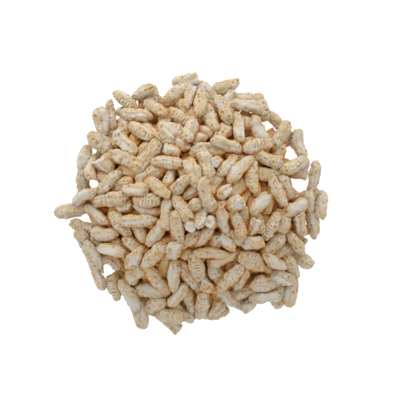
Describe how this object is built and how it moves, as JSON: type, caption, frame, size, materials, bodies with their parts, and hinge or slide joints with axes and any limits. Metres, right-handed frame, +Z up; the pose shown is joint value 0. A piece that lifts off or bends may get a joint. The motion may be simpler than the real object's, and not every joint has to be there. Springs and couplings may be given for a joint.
{
  "type": "puffed brown rice heap",
  "caption": "Loose round heap of puffed brown rice grains on a flat base, highest in the middle with an uneven rim of single grains.",
  "frame": {"origin": "on the table under the middle of the heap", "axes": "+Z up, and seen from above +X to the right and +Y away from the viewer, as in the reference view"},
  "size_m": [0.0885, 0.0834, 0.0243],
  "materials": {
    "puffed_rice": "dry, matte and slightly translucent: cream to tan grains with brown flecks of bran along them"
  },
  "bodies": {
    "root": {"rice_heap": "puffed_rice"}
  },
  "joints": []
}
